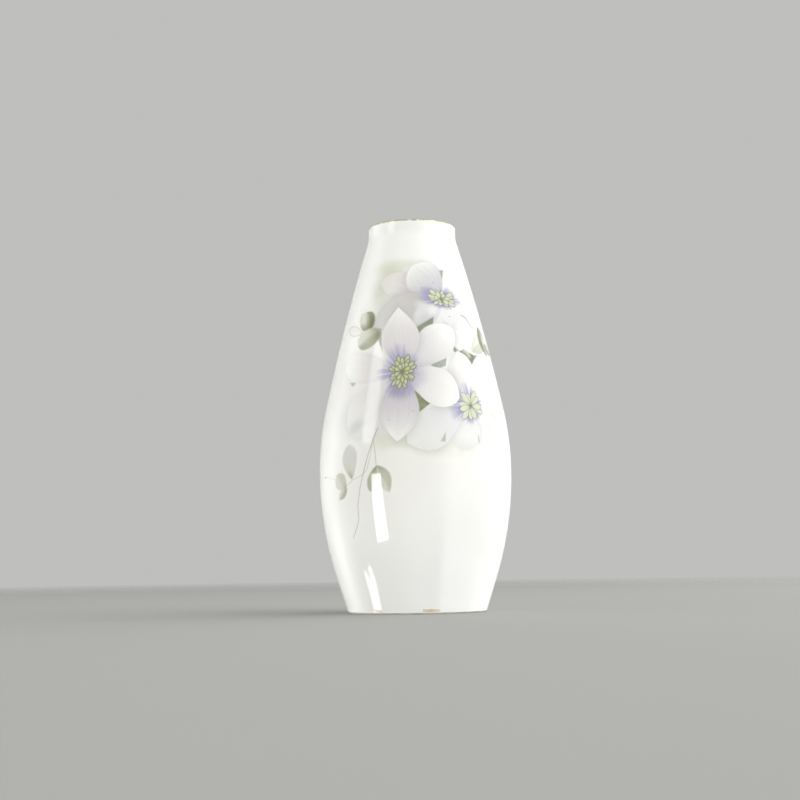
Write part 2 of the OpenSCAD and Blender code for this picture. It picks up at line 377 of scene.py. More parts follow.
    def wedge(self, points, colour=GAP, amount=0.95, soft=0.5):
        """A dark gap between petals: a patch with straight sides."""
        p = self.near(points[0], 16)
        inside = np.full(p.u.shape, 99.0)
        for (u0, v0), (u1, v1) in zip(points, points[1:] + points[:1]):
            du, dv = u1 - u0, v1 - v0
            inside = np.minimum(inside, ((p.u - u0) * dv - (p.v - v0) * du) / math.hypot(du, dv))
        blotch = 0.86 + 0.14 * noise(p.u * 1.3, p.v * 1.3, 5)
        p.over(colour, amount * blotch * smooth(inside, -soft / 2, soft / 2))

    def cloud(self, at, size, colour, amount, turn=0.0):
        """A soft oval patch of colour."""
        p = self.near(at, max(size))
        x, y = p.local(at, turn)
        p.over(colour, amount * smooth(-np.hypot(x / size[1], y / size[0]), -1.0, -0.1))

    def streaks(self, at, size, turn, reach=0.75, amount=0.8, seed=0, lean=(0, 0)):
        """Violet lines that run out from under the stamens."""
        p = self.near(at, 2.5 * max(size))
        x, y = p.local(at, turn)
        x, y = x / size[1], y / size[0]
        r, a = np.hypot(x, y), np.arctan2(y, x)
        wide = noise(a * 2.2 + 9, 0 * r, seed)
        fine = noise(a * 14 + 40, r * 0.7, seed + 1)
        hair = noise(a * 30 + 90, r * 0.9, seed + 2)
        far = reach * (0.35 + 0.75 * wide + 0.45 * (fine - 0.4))
        toward = 1 + lean[0] * np.sin(a) + lean[1] * np.cos(a)
        k = np.clip(1 - (r - 0.8) / np.maximum(far * toward, 0.05), 0, 1)
        p.over(LILAC, 0.5 * amount * k ** 0.7)
        p.over(VIOLET, amount * k ** 1.2 * smooth(fine * 0.6 + hair * 0.4, 0.22, 0.62))

    def anthers(self, at, size, turn, count, hub=(0, 0), wide=1.5, pale=0.3, line=0.8, rings=2,
                seed=0):
        """Stamens round a hub: lobes that point outwards, each with a dark edge."""
        p = self.near(at, 1.4 * max(size))
        c, s = math.cos(math.radians(turn)), math.sin(math.radians(turn))

        def place(x, y):
            return at[0] + x * c + y * s, at[1] - x * s + y * c

        dark_ground = 0.7 * line * (rings - 1)
        p.cloud(at, (size[0] * 0.95, size[1] * 0.95), ANTHER_LINE, dark_ground, turn)
        inner = blend(ANTHER, ANTHER_PALE, pale)
        outer = blend(ANTHER, ANTHER_PALE, 0.6 + 0.4 * pale)
        # Each ring's number, its share of the size, and how far from the hub its lobes start.
        for ring, share, start in ((0, 1.0, 0.22 if rings > 1 else 0.04), (1, 0.6, 0.12))[:rings]:
            for i in sorted(range(count), key=lambda i: (i * 7 + seed) % count):
                if ring and i % 2:
                    continue
                jitter = math.sin(i * 2.7 + seed * 1.3)
                a = 2 * math.pi * (i + 0.5 * ring) / count + 0.10 * jitter
                k = share * (0.9 + 0.12 * math.sin(i * 4.1 + seed))
                x, y = math.sin(a) * size[0] * k, math.cos(a) * size[1] * k
                foot = place(hub[0] + start * (x - hub[0]), hub[1] + start * (y - hub[1]))
                end = place(x, y)
                du, dv = end[0] - foot[0], end[1] - foot[1]
                q = p.near(foot, 1.2 * max(size) + 2)
                t, inside, _ = q.blade(foot, math.degrees(math.atan2(du, dv)), math.hypot(du, dv),
                                       wide * (1 + 0.12 * jitter), 0.62, 0.6)
                q.over(ANTHER_LINE, line * smooth(inside, -0.35, 0.0))
                fill = Layer(inner, q.u.shape)
                fill.mix(outer, smooth(inside, 0.0, 0.55) * (0.25 + 0.75 * smooth(t, 0.2, 0.8)))
                fill.mix(ANTHER_LINE, 0.5 * line * smooth(-t, -0.35, -0.05))
                q.over(fill.colour, smooth(inside, -0.1, 0.2))
        hubu, hubv = place(*hub)
        dots = noise(p.u * 2.6, p.v * 2.6, seed + 8)
        far = np.hypot(p.u - hubu, p.v - hubv) / 1.5
        p.over(ANTHER_LINE, 0.8 * line * smooth(-far, -1.0, -0.3) * smooth(dots, 0.35, 0.6))


def flowers(p):
    """The spray of three large flowers, from the back to the front."""
    # Greenish haze round the spray.
    p.cloud((-9, 138), (11, 6), HAZE, 0.9)
    p.cloud((-1, 140), (13, 3.5), HAZE, 0.45)
    p.cloud((-14, 128), (7, 11), HAZE, 0.85)
    p.cloud((-20, 118), (8, 9), HAZE, 0.35)
    p.cloud((-30, 88), (10, 18), LILAC, 0.35)
    p.cloud((-33, 76), (9, 12), LILAC, 0.30)
    p.cloud((-3, 67.5), (19, 5.5), HAZE, 0.9)
    p.cloud((6, 64.5), (12, 5), HAZE, 0.5)
    p.cloud((16, 64), (16, 7), HAZE, 0.15)
    p.cloud((-14, 68), (7, 8), HAZE, 0.5)
    p.cloud((34, 112), (12, 12), HAZE, 0.3)
    p.cloud((34, 72), (14, 10), LILAC, 0.25)
    # Dark leaves seen in the gaps.
    p.wedge([(9.2, 137.8), (13, 137.8), (12, 133.2)], amount=0.75)
    p.cloud((-8, 128.2), (3.2, 1.2), GAP, 0.7)

    # The upper flower.
    B = (11.7, 124.7)
    p.petal(B, 98, 15, 13, tint=0.25, shadow=0.12, fade=0.6, soft=0.8, tone=COOL, seed=1)
    p.petal(B, 42, 16, 12, tint=0.3, shadow=0.12, fade=0.6, soft=0.8, tone=COOL, seed=2)
    p.petal(B, -69.5, 27, 12, widest=0.62, tip=0.7, tint=0.8, shadow=0.35, blush=1.0, bend=-0.03,
            end=0.8, soft=0.8, shade=(0.86, 0.845, 0.81), seed=3)
    p.petal(B, -39, 18.8, 15.5, widest=0.63, tip=0.6, tint=1.0, shadow=0.3, blush=0.2,
            tone=(0.745, 0.75, 0.765), seed=4)
    p.petal(B, -111.8, 31.5, 17, widest=0.54, tip=0.75, tint=0.95, shadow=0.5, side=0.45, end=0.75,
            tone=WARM, shade=(0.79, 0.785, 0.765), seed=5)
    p.petal(B, 185, 12, 14, tint=0.35, shadow=0.3, tone=COOL, seed=6)
    p.petal(B, 143, 23.5, 16, widest=0.64, tip=0.65, tint=0.4, shadow=0.25, blush=0.2, tone=COOL,
            seed=7)
    p.petal(B, 227, 16, 8.8, widest=0.55, tip=0.75, tint=1.0, shadow=0.05, side=-0.3, soft=2.2,
            end=0.4, tone=(0.755, 0.755, 0.77), seed=8)
    p.cloud((3.8, 116), (5, 4), SHADE, 0.45)
    p.cloud((2.5, 122.5), (4, 3), WHITE, 0.4)
    p.cloud((7.8, 120.2), (5, 4), WHITE, 0.65)
    p.cloud((9.5, 126), (10, 5.5), COOL, 0.6, 10)
    p.cloud((6, 128), (4.5, 3), VIOLET, 0.6, 10)
    for speck in ((8.1, 131.9), (15, 117.8), (3.4, 129.5)):
        p.cloud(speck, (0.45, 0.4), STEM, 0.9)
    p.streaks(B, (6.2, 3.2), 9, reach=0.9, amount=0.9, seed=3, lean=(0, 0.3))
    p.anthers((12, 125.6), (7.3, 3.9), 11, 12, hub=(-0.5, -0.8), wide=1.7, pale=0.6, line=0.45, seed=4)

    # Leaves and tendrils on the right, between the upper flower and the lower one.
    p.leaf((25.5, 104), 58, 14, 8, dark=0.2, pale=0.4, seed=4)
    p.leaf((31.5, 115.5), 152, 14, 6.5, dark=1.0, seed=5)
    p.leaf((34, 103.8), 140, 9, 4.6, dark=1.0, seed=6)
    p.leaf((36, 108), 110, 9, 5, dark=0.8, seed=8)
    p.near((26, 113), 20).stroke([(21, 119), (23.4, 118.2), (26.2, 115.2), (30, 113)], 0.45,
                                 LEAF_DARK, 0.55)
    p.near((26, 103), 20).stroke([(15, 105.5), (19, 103.5), (24, 102), (30, 102.5), (38, 104)], 0.5,
                                 LEAF_DARK, 0.7)
    p.wedge([(18, 102.6), (21, 104.4), (28.5, 101.8), (25.5, 96)], amount=1.0)
    p.wedge([(14.8, 105.8), (16.5, 105.6), (18.5, 102.5), (16.5, 103)], amount=0.85)
    p.leaf((19.8, 103.9), 118, 6, 3.0, dark=0.1, seed=7)

    # The lower flower, on the right.
    C = (22.8, 80.8)
    p.petal(C, 90, 23, 14, tint=0.2, shadow=0.15, tone=COOL, seed=11)
    p.petal(C, 131, 20, 15, tint=0.3, shadow=0.2, tone=COOL, seed=12)
    p.petal(C, 194, 18, 15, tint=0.35, shadow=0.25, tip=0.7, end=0.3, tone=COOL, seed=13)
    p.petal(C, 34, 27, 15.5, widest=0.64, tip=0.65, tint=0.1, shadow=0.3, tone=COOL, seed=14)
    p.petal(C, -12.5, 23, 13, widest=0.62, tip=0.7, tint=0.15, shadow=0.3, side=-0.35, blush=0.2,
            tone=COOL, seed=15)
    p.petal(C, 241, 30, 16.5, widest=0.64, tip=0.72, tint=0.5, shadow=0.35, side=0.2, end=0.15,
            tone=COOL, seed=16)
    p.wedge([(9.6, 66.6), (11.8, 70.2), (11.6, 66.4)], amount=0.4)
    p.near((35, 77), 9).stroke([(34.4, 79), (37, 77.8), (39.4, 75.8)], 0.5, LEAF_MID, 0.8)
    p.near((35, 71), 9).stroke([(33.2, 73.5), (35.6, 71.2), (36.4, 68.5)], 0.4, LEAF_MID, 0.8)
    p.near((26.7, 68), 5).stroke([(26.6, 69.2), (26.8, 66.6)], 0.6, LEAF_MID, 0.8)
    p.cloud((21, 79.5), (10, 9), COOL, 0.2)
    p.streaks(C, (6, 6), 0, reach=0.75, amount=0.7, seed=5, lean=(-0.5, 0.1))
    p.anthers((23.3, 81.0), (6.6, 6.7), 20, 11, wide=2.3, pale=0.85, line=0.35, rings=1, seed=2)

    # Leaves on the left.
    p.wedge([(-16.4, 113), (-13.5, 113), (-13.2, 103.3)], amount=0.85)
    p.leaf((-22.8, 112), -74, 11, 4.5, dark=0.2, pale=0.85, seed=1)
    p.leaf((-20.4, 112.6), -2, 8.3, 8.4, widest=0.6, tip=0.24, dark=1.0, seed=2)
    p.leaf((-14.2, 112), 244, 12.0, 8.0, widest=0.55, tip=0.32, dark=0.7, turned=-1, wash=0.3,
           seed=3)

    # The large flower in the middle, after the gaps round it.
    A = (-5.0, 94.4)
    p.wedge([(0.6, 112.5), (2.8, 114.1), (7.9, 117.3), (7.6, 114), (1.8, 107)], amount=0.85)
    p.wedge([(6.2, 97.2), (12.9, 100.2), (12.6, 97), (9, 95.6)], amount=0.7)
    p.wedge([(-1, 87), (7.6, 82.8), (7, 81.6), (2.2, 78.6), (-1, 76)], colour=(0.56, 0.585, 0.44),
            amount=1.0)
    p.wedge([(-29, 91.6), (-25.4, 91.5), (-27.4, 89.8)], amount=0.7)
    p.petal(A, 279, 28, 13, widest=0.64, tip=0.6, tint=0.45, shadow=0.25, blush=0.5, fade=0.85,
            soft=0.8, seed=21)
    p.petal(A, 223, 34, 19, widest=0.64, tip=0.62, tint=0.5, shadow=0.3, blush=0.25, side=-0.15,
            end=0.2, fade=0.85, soft=0.8, seed=22)
    p.petal(A, 47, 28, 15.0, widest=0.66, tip=0.62, bend=0.03, tint=0.65, shadow=0.45, side=0.1,
            seed=23)
    p.petal(A, -2.5, 27.2, 15.5, widest=0.52, tip=1.05, tint=0.75, shadow=0.5, blush=0.3, seed=24)
    p.petal(A, 111, 25.2, 15.3, widest=0.62, tip=0.62, bend=0.07, tint=0.45, shadow=0.5, seed=25)
    p.petal(A, 185, 27.8, 15.6, widest=0.55, tip=0.85, tint=1.0, shadow=0.45, blush=0.25,
            tone=(0.735, 0.715, 0.745), seed=26)
    p.cloud((-25, 73.5), (3.5, 7), (0.76, 0.77, 0.76), 0.5, 58)
    for speck in ((-10.7, 75.3), (-1, 78.5), (-12.3, 84.2)):
        p.cloud(speck, (0.45, 0.4), STEM, 0.8)
    p.cloud(A, (12, 13), LILAC, 0.6)
    p.cloud(A, (9.5, 11), VIOLET, 0.65)
    p.streaks(A, (5.4, 7.0), 17, reach=1.0, amount=1.0, seed=8, lean=(-0.15, -0.15))
    p.cloud((-6, 86.5), (6, 5), (0.58, 0.55, 0.64), 0.6)
    p.cloud((1.5, 92.5), (5, 6), LILAC, 0.5)
    p.anthers(A, (5.7, 7.6), 17, 19, wide=1.6, pale=0.0, line=0.8, seed=1)


def sprig(p):
    """The small leaves and thin stems that trail below the spray on the left."""
    p.stroke([(-47, 54.4), (-45, 54.6), (-42, 54.2), (-38, 53.2), (-36, 52.4)], 0.3, LEAF_MID, 0.5)
    p.near((-46, 54.5), 4).stroke([(-47.5, 54.5), (-45.2, 54.5)], 0.5, LEAF_DARK, 0.5)
    p.leaf((-30.6, 48.6), -44, 8.5, 7, widest=0.6, tip=0.6, dark=0.3, wash=0.6, seed=11)
    p.leaf((-30.2, 49.4), 228, 6.5, 3.6, dark=0.45, wash=0.2, turned=-1, seed=12)
    p.leaf((-27.2, 52.6), -14, 13.8, 8, widest=0.62, tip=0.6, bend=0.12, dark=0.3, wash=0.85,
           turned=-1, seed=13)
    p.cloud((-28.5, 62), (5, 6), (0.81, 0.82, 0.82), 0.5)
    p.leaf((-15.6, 57.6), 190, 10.5, 6, widest=0.55, tip=0.6, dark=0.45, bend=0.1, wash=0.3,
           seed=14)
    p.leaf((-15.6, 57.6), 148, 11.5, 6, dark=0.3, wash=0.4, turned=-1, bend=0.12, seed=15)
    p.stroke([(-15, 72.4), (-16.2, 70), (-17.5, 67.3), (-19.5, 62), (-21.6, 55.5), (-23.4, 49.2),
              (-24.6, 42.5), (-24.3, 37), (-25.5, 33.5), (-27.4, 30)], 0.3)
    p.stroke([(-17.5, 67.3), (-18.6, 61.5), (-20, 56.5), (-22.2, 54.2), (-27, 52.4), (-31.4, 49.6)],
             0.22, amount=0.75)
    p.stroke([(-17.2, 68), (-16.5, 63), (-16, 57.5)], 0.28, amount=0.8)


# ---------------------------------------------------------------- materials

class Nodes:
    """Builds a material's nodes by name, with the inputs as keywords."""
    def __init__(self, name):
        self.material = bpy.data.materials.new(name)
        self.material.use_nodes = True
        self.tree = self.material.node_tree
        self.tree.nodes.clear()

    def put(self, socket, value):
        """Links another node's output to a socket, or gives it a plain value."""
        if hasattr(value, "links"):
            self.tree.links.new(value, socket)
        else:
            socket.default_value = value

    def add(self, kind, inputs=(), **settings):
        node = self.tree.nodes.new(kind)
        for key, value in settings.items():
            setattr(node, key, value)
        for key, value in dict(inputs).items():
            self.put(node.inputs[key], value)
        return node

    def place(self):
        return self.add("ShaderNodeTexCoord").outputs["Object"]

    def noise(self, scale, detail):
        inputs = {"Vector": self.place(), "Scale": scale, "Detail": detail}
        return self.add("ShaderNodeTexNoise", inputs).outputs["Fac"]

    def span(self, value, low, high, to_low=0.0, to_high=1.0):
        """A soft step of a value between low and high."""
        return self.add("ShaderNodeMapRange", {0: value, 1: low, 2: high, 3: to_low, 4: to_high},
                        interpolation_type="SMOOTHSTEP").outputs[0]

    def mix(self, share, one, other, blend="MIX"):
        node = self.add("ShaderNodeMix", data_type="RGBA", blend_type=blend)
        for index, value in ((0, share), (6, one), (7, other)):
            self.put(node.inputs[index], value)
        return node.outputs[2]

    def times(self, one, other):
        return self.add("ShaderNodeMath", {0: one, 1: other}, operation="MULTIPLY").outputs[0]

    def bump(self, height, strength, distance):
        inputs = {"Height": height, "Strength": strength, "Distance": distance}
        return self.add("ShaderNodeBump", inputs).outputs[0]

    def surface(self, shader):
        """Shows a shader node as the material's surface."""
        self.tree.links.new(shader.outputs[0], self.add("ShaderNodeOutputMaterial").inputs[0])
        return self.material

    def principled(self, **inputs):
        names = {key.replace("_", " "): value for key, value in inputs.items()}
        return self.surface(self.add("ShaderNodeBsdfPrincipled", names))


# Colours of the fired surfaces, as amounts of light.
GLAZE = (0.800, 0.797, 0.752, 1)
GLAZE_COOL = (0.792, 0.797, 0.772, 1)
GLAZE_SPECK = (0.30, 0.27, 0.20, 1)
BISQUE, BISQUE_DIRT = (0.66, 0.62, 0.53, 1), (0.42, 0.37, 0.28, 1)
RIM_GOLD, RIM_GOLD_DARK = (0.80, 0.77, 0.55, 1), (0.46, 0.43, 0.27, 1)
FOOT_GOLD, FOOT_GOLD_DARK = (0.60, 0.55, 0.39, 1), (0.46, 0.37, 0.26, 1)
SPECK_CELLS = 95.0              # cells per metre; about one in forty has a speck
SPECK_SHARE = (0.975, 0.98)


def glaze_colour(n):
    """White glaze with a faint drift of tone and a few pinhole specks."""
    drift = n.span(n.noise(14.0, 3.0), 0.35, 0.68)
    colour = n.mix(drift, GLAZE, GLAZE_COOL)
    cells = n.add("ShaderNodeTexVoronoi", {"Vector": n.place(), "Scale": SPECK_CELLS})
    draw = n.add("ShaderNodeSeparateColor", {"Color": cells.outputs["Color"]}).outputs[0]
    dot = n.span(cells.outputs["Distance"], 0.045, 0.02)
    speck = n.times(n.span(draw, *SPECK_SHARE), dot)
    return n.mix(n.times(speck, 0.75), colour, GLAZE_SPECK)


def glaze_finish(n):
    """Normal and roughness of the fired glaze: slow waves of the surface and slight dullness."""
    wave = n.bump(n.noise(32.0, 1.0), 0.12, 0.0006)
    rough = n.span(n.noise(60.0, 3.0), 0.3, 0.8, 0.035, 0.075)
    return {"Normal": wave, "Roughness": rough, "IOR": 1.5}


def glaze_material(name):
    n = Nodes(name)
    return n.principled(Base_Color=glaze_colour(n), **glaze_finish(n))


def print_material(name):
    """Transfer print, as glossy as the glaze: its ink covers the glaze's own colour."""
    n = Nodes(name)
    ink = n.add("ShaderNodeAttribute", attribute_name="ink")
    under = n.mix(ink.outputs["Alpha"], glaze_colour(n), (0, 0, 0, 1))
    grain = n.span(n.noise(2600.0, 2.0), 0.3, 0.75, 0.97, 1.02)
    tint = n.add("ShaderNodeCombineColor", {0: grain, 1: grain, 2: grain}).outputs[0]
    inked = n.mix(1.0, ink.outputs["Color"], tint, "MULTIPLY")
    return n.principled(Base_Color=n.mix(1.0, under, inked, "ADD"), **glaze_finish(n))


def bisque_material():
    """Bare fired porcelain, slightly rough and stained in places."""
    n = Nodes("bare porcelain")
    grain = n.noise(900.0, 3.0)
    dirt = n.span(n.noise(120.0, 4.0), 0.48, 0.75, 0.0, 0.55)
    return n.principled(Base_Color=n.mix(dirt, BISQUE, BISQUE_DIRT),
                        Roughness=n.span(grain, 0.3, 0.7, 0.62, 0.85),
                        Normal=n.bump(grain, 0.35, 0.0002))


def gold_material(name, colour, dark, metal, rough):
    """Fired gold, dulled and browned in places."""
    n = Nodes(name)
    tone = n.span(n.noise(330.0, 3.0), 0.35, 0.65)
    fine = n.noise(2200.0, 2.0)
    return n.principled(Base_Color=n.mix(tone, colour, dark), Metallic=metal,
                        Roughness=n.span(fine, 0.3, 0.7, *rough),
                        Normal=n.bump(fine, 0.2, 0.00005))


# ---------------------------------------------------------------- porcelain and glaze

glaze = glaze_material("white glaze")
bisque = bisque_material()
skin, under_skin = inwards(0), inwards(GLAZE_T)
above_bevel = OUTLINE[:, 1] > FOOT_BEVEL + 0.2
slope = -math.tan(LOW_LEAN)                         # mm out per mm up, at the foot wall
bevel_top = (under_skin[0, 0] + FOOT_BEVEL * slope, FOOT_BEVEL)
ring_r = under_skin[0, 0] - FOOT_BEVEL
recess_r = ring_r - FOOT_RING_W - FOOT_BEVEL
recess_top = RECESS_DEPTH + GLAZE_T
crest = 90                                          # degrees over the lip, from the outside

body_profile = np.concatenate((
    [(0, recess_top), (recess_r, recess_top), (ring_r - FOOT_RING_W, 0), (ring_r, 0), bevel_top],
    under_skin[above_bevel], lip(GLAZE_T), wall_inside(GLAZE_T)[::-1], floor_rounding(GLAZE_T),
    [(0, FLOOR_TOP - GLAZE_T)]))
lathe("cast_body", body_profile, bisque, ["porcelain_body"])

outer_profile = np.concatenate((
    [bevel_top, (skin[0, 0] + (FOOT_BEVEL + 0.1) * slope, FOOT_BEVEL)],
    skin[above_bevel], lip(0, 0, crest)[1:],
    lip(GLAZE_T, 0, crest)[::-1], under_skin[above_bevel][:-1][::-1]))
lathe("outside_glaze", outer_profile, glaze, ["outer_glaze"])

inner_profile = np.concatenate((
    lip(0, crest, 180), wall_inside(0)[::-1][1:], floor_rounding(0),
    [(0, FLOOR_TOP), (0, FLOOR_TOP - GLAZE_T)],
    floor_rounding(GLAZE_T)[::-1], wall_inside(GLAZE_T)[:-1], lip(GLAZE_T, crest, 180)[::-1]))
lathe("inside_glaze", inner_profile, glaze, ["inner_glaze"])

recess_profile = [(0, RECESS_DEPTH), (recess_r - 0.15, RECESS_DEPTH),
                  (recess_r, RECESS_DEPTH + 0.1), (recess_r, recess_top), (0, recess_top)]
lathe("recess_glaze", recess_profile, glaze, ["base_glaze"])


# ---------------------------------------------------------------- printed films

FILM_LIFT = 0.03      # how far a film stands over the glaze
FILM_SINK = 0.04      # how far its border lies under it
FILM_BORDER = 3.0     # width of the border that sinks
FILM_T = 0.1
FILM_STEP = 0.01      # how far the sprig's film stands over the flowers' film
# Painted shade: round to the right, where the lights are brighter, the ink is painted darker so
# that its shading still shows there: by how much, and from how many degrees to how many.
BRIGHT_SIDE_DARKENING = 0.7
DARKENING_FROM, DARKENING_TO = -12, 45


def closing_faces(rim, count):
    """Faces between a loop of vertices and the same loop of the back, count vertices on."""
    after = np.roll(rim, -1)
    return np.stack((rim, rim + count, after + count, after), -1)


def film(name, across, up, lift, material, node):
    """A thin closed film that follows the glaze and carries the ink as vertex colours.

    Each film is painted with the whole print, so that the two agree where they overlap."""
    ink = Print(across, up)
    flowers(ink)
    sprig(ink)
    edge = np.minimum(np.minimum(ink.u - across[0], across[-1] - ink.u),
                      np.minimum(ink.v - up[0], up[-1] - ink.v))
    rise = -FILM_SINK + (lift + FILM_SINK) * smooth(edge, 0, FILM_BORDER)
    r, lean = radius_at(ink.v), lean_at(ink.v)
    turn = ink.u / r
    normal = np.stack((np.sin(turn) * np.cos(lean), -np.cos(turn) * np.cos(lean), np.sin(lean)), -1)
    face = np.stack((r * np.sin(turn), -r * np.cos(turn), ink.v), -1) + normal * rise[..., None]
    verts = np.concatenate((face.reshape(-1, 3), (face - normal * FILM_T).reshape(-1, 3))) * MM
    rows, columns = ink.u.shape
    count = rows * columns
    index = np.arange(count).reshape(rows, columns)
    rim = np.concatenate((index[0, :-1], index[:-1, -1], index[-1, :0:-1], index[:0:-1, 0]))
    faces = np.concatenate((grid_faces(rows, columns), grid_faces(rows, columns, count, flip=True),
                            closing_faces(rim, count)))
    mesh = bpy.data.meshes.new(name)
    mesh.from_pydata(verts.tolist(), [], faces.tolist())
    finished(name, mesh, material, replaces=[node], sharp=180)
    mesh.normals_split_custom_set_from_vertices(np.tile(normal.reshape(-1, 3), (2, 1)).tolist())
    shown = linear(np.clip(ink.ink / np.maximum(ink.cover, 1e-4)[..., None], 0, 1)) / linear(WHITE)
    # Painted shade: the ink is darkened more round to the right, where the lights are brighter.
    strength = 1 + BRIGHT_SIDE_DARKENING * smooth(np.degrees(turn), DARKENING_FROM, DARKENING_TO)[..., None]
    inked = np.asarray(GLAZE[:3]) * shown ** strength * ink.cover[..., None]
    colours = np.concatenate((inked, ink.cover[..., None]), -1).reshape(-1, 4)
    attribute = mesh.color_attributes.new("ink", "FLOAT_COLOR", "POINT")
    attribute.data.foreach_set("color", np.tile(colours, (2, 1)).ravel())


flower_ink = print_material("flower print")
leaf_ink = print_material("leaf print")
fine, coarse = ((0.17, 0.4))      # mm between the points of the grid
film("flower_print", spaced(-45, coarse, -12, fine, 30, coarse, 48),
     spaced(58, coarse, 73, fine, 103, coarse, 119, fine, 130, coarse, 147),
     FILM_LIFT, flower_ink, "flower_spray_transfer")
film("sprig_print", spaced(-50, coarse * 0.6, -7), spaced(26, coarse * 0.6, 76),
     FILM_LIFT + FILM_STEP, leaf_ink, "leaf_sprig_transfer")


# ---------------------------------------------------------------- gilding

WORN_SINK, GOLD_BACK = 0.06, 0.12       # how far worn gold, and the band's back, lie under the glaze
LIP_TURNS, LIP_ROWS = 900, 20
FOOT_TURNS, FOOT_ROWS = 1200, 12


def gilding(name, place, turns, widths, worn, material, node):
    """A ring of gold over the glaze. Where it is worn, it thins until it lies under the glaze."""
    angle, across = np.meshgrid(np.arange(turns) * 2 * math.pi / turns, widths)
    depth = worn(angle, across)
    face, normal = place(angle, across)
    top = face + normal * (-WORN_SINK + (GOLD_T + WORN_SINK) * depth)[..., None]
    back = face - normal * GOLD_BACK
    rows, columns = angle.shape
    count = rows * columns
    index = np.arange(count).reshape(rows, columns)
    faces = [grid_faces(rows, columns, wrap=True),
             grid_faces(rows, columns, count, flip=True, wrap=True),
             closing_faces(index[0], count), closing_faces(index[-1], count)]
    verts = np.concatenate((top.reshape(-1, 3), back.reshape(-1, 3))) * MM
    mesh = bpy.data.meshes.new(name)
    mesh.from_pydata(verts.tolist(), [], np.concatenate(faces).tolist())
    finished(name, mesh, material, replaces=[node], sharp=60)


def lip_place(angle, over):
    """Points and normals of the lip's surface, round the vase and over the lip."""
    out = LIP_HALF * np.cos(over)
    r, z = LIP_CENTRE[0] + out, LIP_CENTRE[1] + LIP_HALF * np.sin(over)
    normal = np.stack((np.sin(angle) * np.cos(over), -np.cos(angle) * np.cos(over), np.sin(over)), -1)
    return np.stack((r * np.sin(angle), -r * np.cos(angle), z), -1), normal


def lip_wear(angle, over):
    """How much of the lip's gold is left, from 0 to 1."""
    long, short = noise(angle * 9 + 60, over * 1.5, 4), noise(angle * 42 + 300, over * 5, 6)
    kept = smooth(0.55 * long + 0.45 * short, 0.24, 0.42)
    edge = np.minimum(over - over.min(), over.max() - over)
    return kept * smooth(edge, 0.0, 0.3)


rim_gold = gold_material("worn gold", RIM_GOLD, RIM_GOLD_DARK, metal=0.85, rough=(0.22, 0.42))
drop = math.asin((LIP_HALF - RIM_GOLD_DROP) / LIP_HALF)
gilding("rim_gold", lip_place, LIP_TURNS, np.linspace(math.pi - drop, drop, LIP_ROWS),
        lip_wear, rim_gold, "rim_gilding")


def foot_place(angle, z):
    """Points and normals of the foot wall, round the vase and up."""
    r = FOOT_R + z * slope
    out, up = math.cos(LOW_LEAN), math.sin(LOW_LEAN)
    normal = np.stack((np.sin(angle) * out, -np.cos(angle) * out, np.full(angle.shape, up)), -1)
    return np.stack((r * np.sin(angle), -r * np.cos(angle), z), -1), normal


def foot_wear(angle, z):
    """Only stretches of the foot line are left, with ragged ends."""
    kept = np.zeros(angle.shape)
    ragged = 0.05 * (noise(angle * 60 + 400, z * 2.5, 9) - 0.5)
    for start, run in FOOT_GOLD_ARCS:
        a = (angle - math.radians(start) + math.pi / 2) % (2 * math.pi) - math.pi / 2
        kept = np.maximum(kept, smooth(np.minimum(a, math.radians(run) - a) + ragged, 0.0, 0.03))
    pits = smooth(noise(angle * 90 + 700, z * 4, 2), 0.12, 0.3)
    edge = np.minimum(z - z.min(), z.max() - z)
    return kept * pits * smooth(edge, 0.0, 0.15)


foot_gold = gold_material("worn foot gold", FOOT_GOLD, FOOT_GOLD_DARK, metal=0.2, rough=(0.45, 0.6))
gilding("foot_gold", foot_place, FOOT_TURNS,
        np.linspace(FOOT_GOLD_Z, FOOT_GOLD_Z + FOOT_GOLD_W, FOOT_ROWS),
        foot_wear, foot_gold, "foot_gilding")


# ---------------------------------------------------------------- stage

PANEL_POINTS = 61                       # points along each side of a light
PANEL_CENTRE = np.array((0, 0, 0.06))   # of the spheres that the lights are parts of


def glowing_material(name, strength):
    """Emission where the glow is, and clear where it isn't."""
    n = Nodes(name)
    glow = n.add("ShaderNodeAttribute", attribute_name="glow").outputs["Fac"]
    lit = n.add("ShaderNodeEmission", {"Color": (1, 1, 1, 1), "Strength": n.times(glow, strength)})
    clear = n.add("ShaderNodeBsdfTransparent")
    return n.surface(n.add("ShaderNodeAddShader", {0: lit.outputs[0], 1: clear.outputs[0]}))


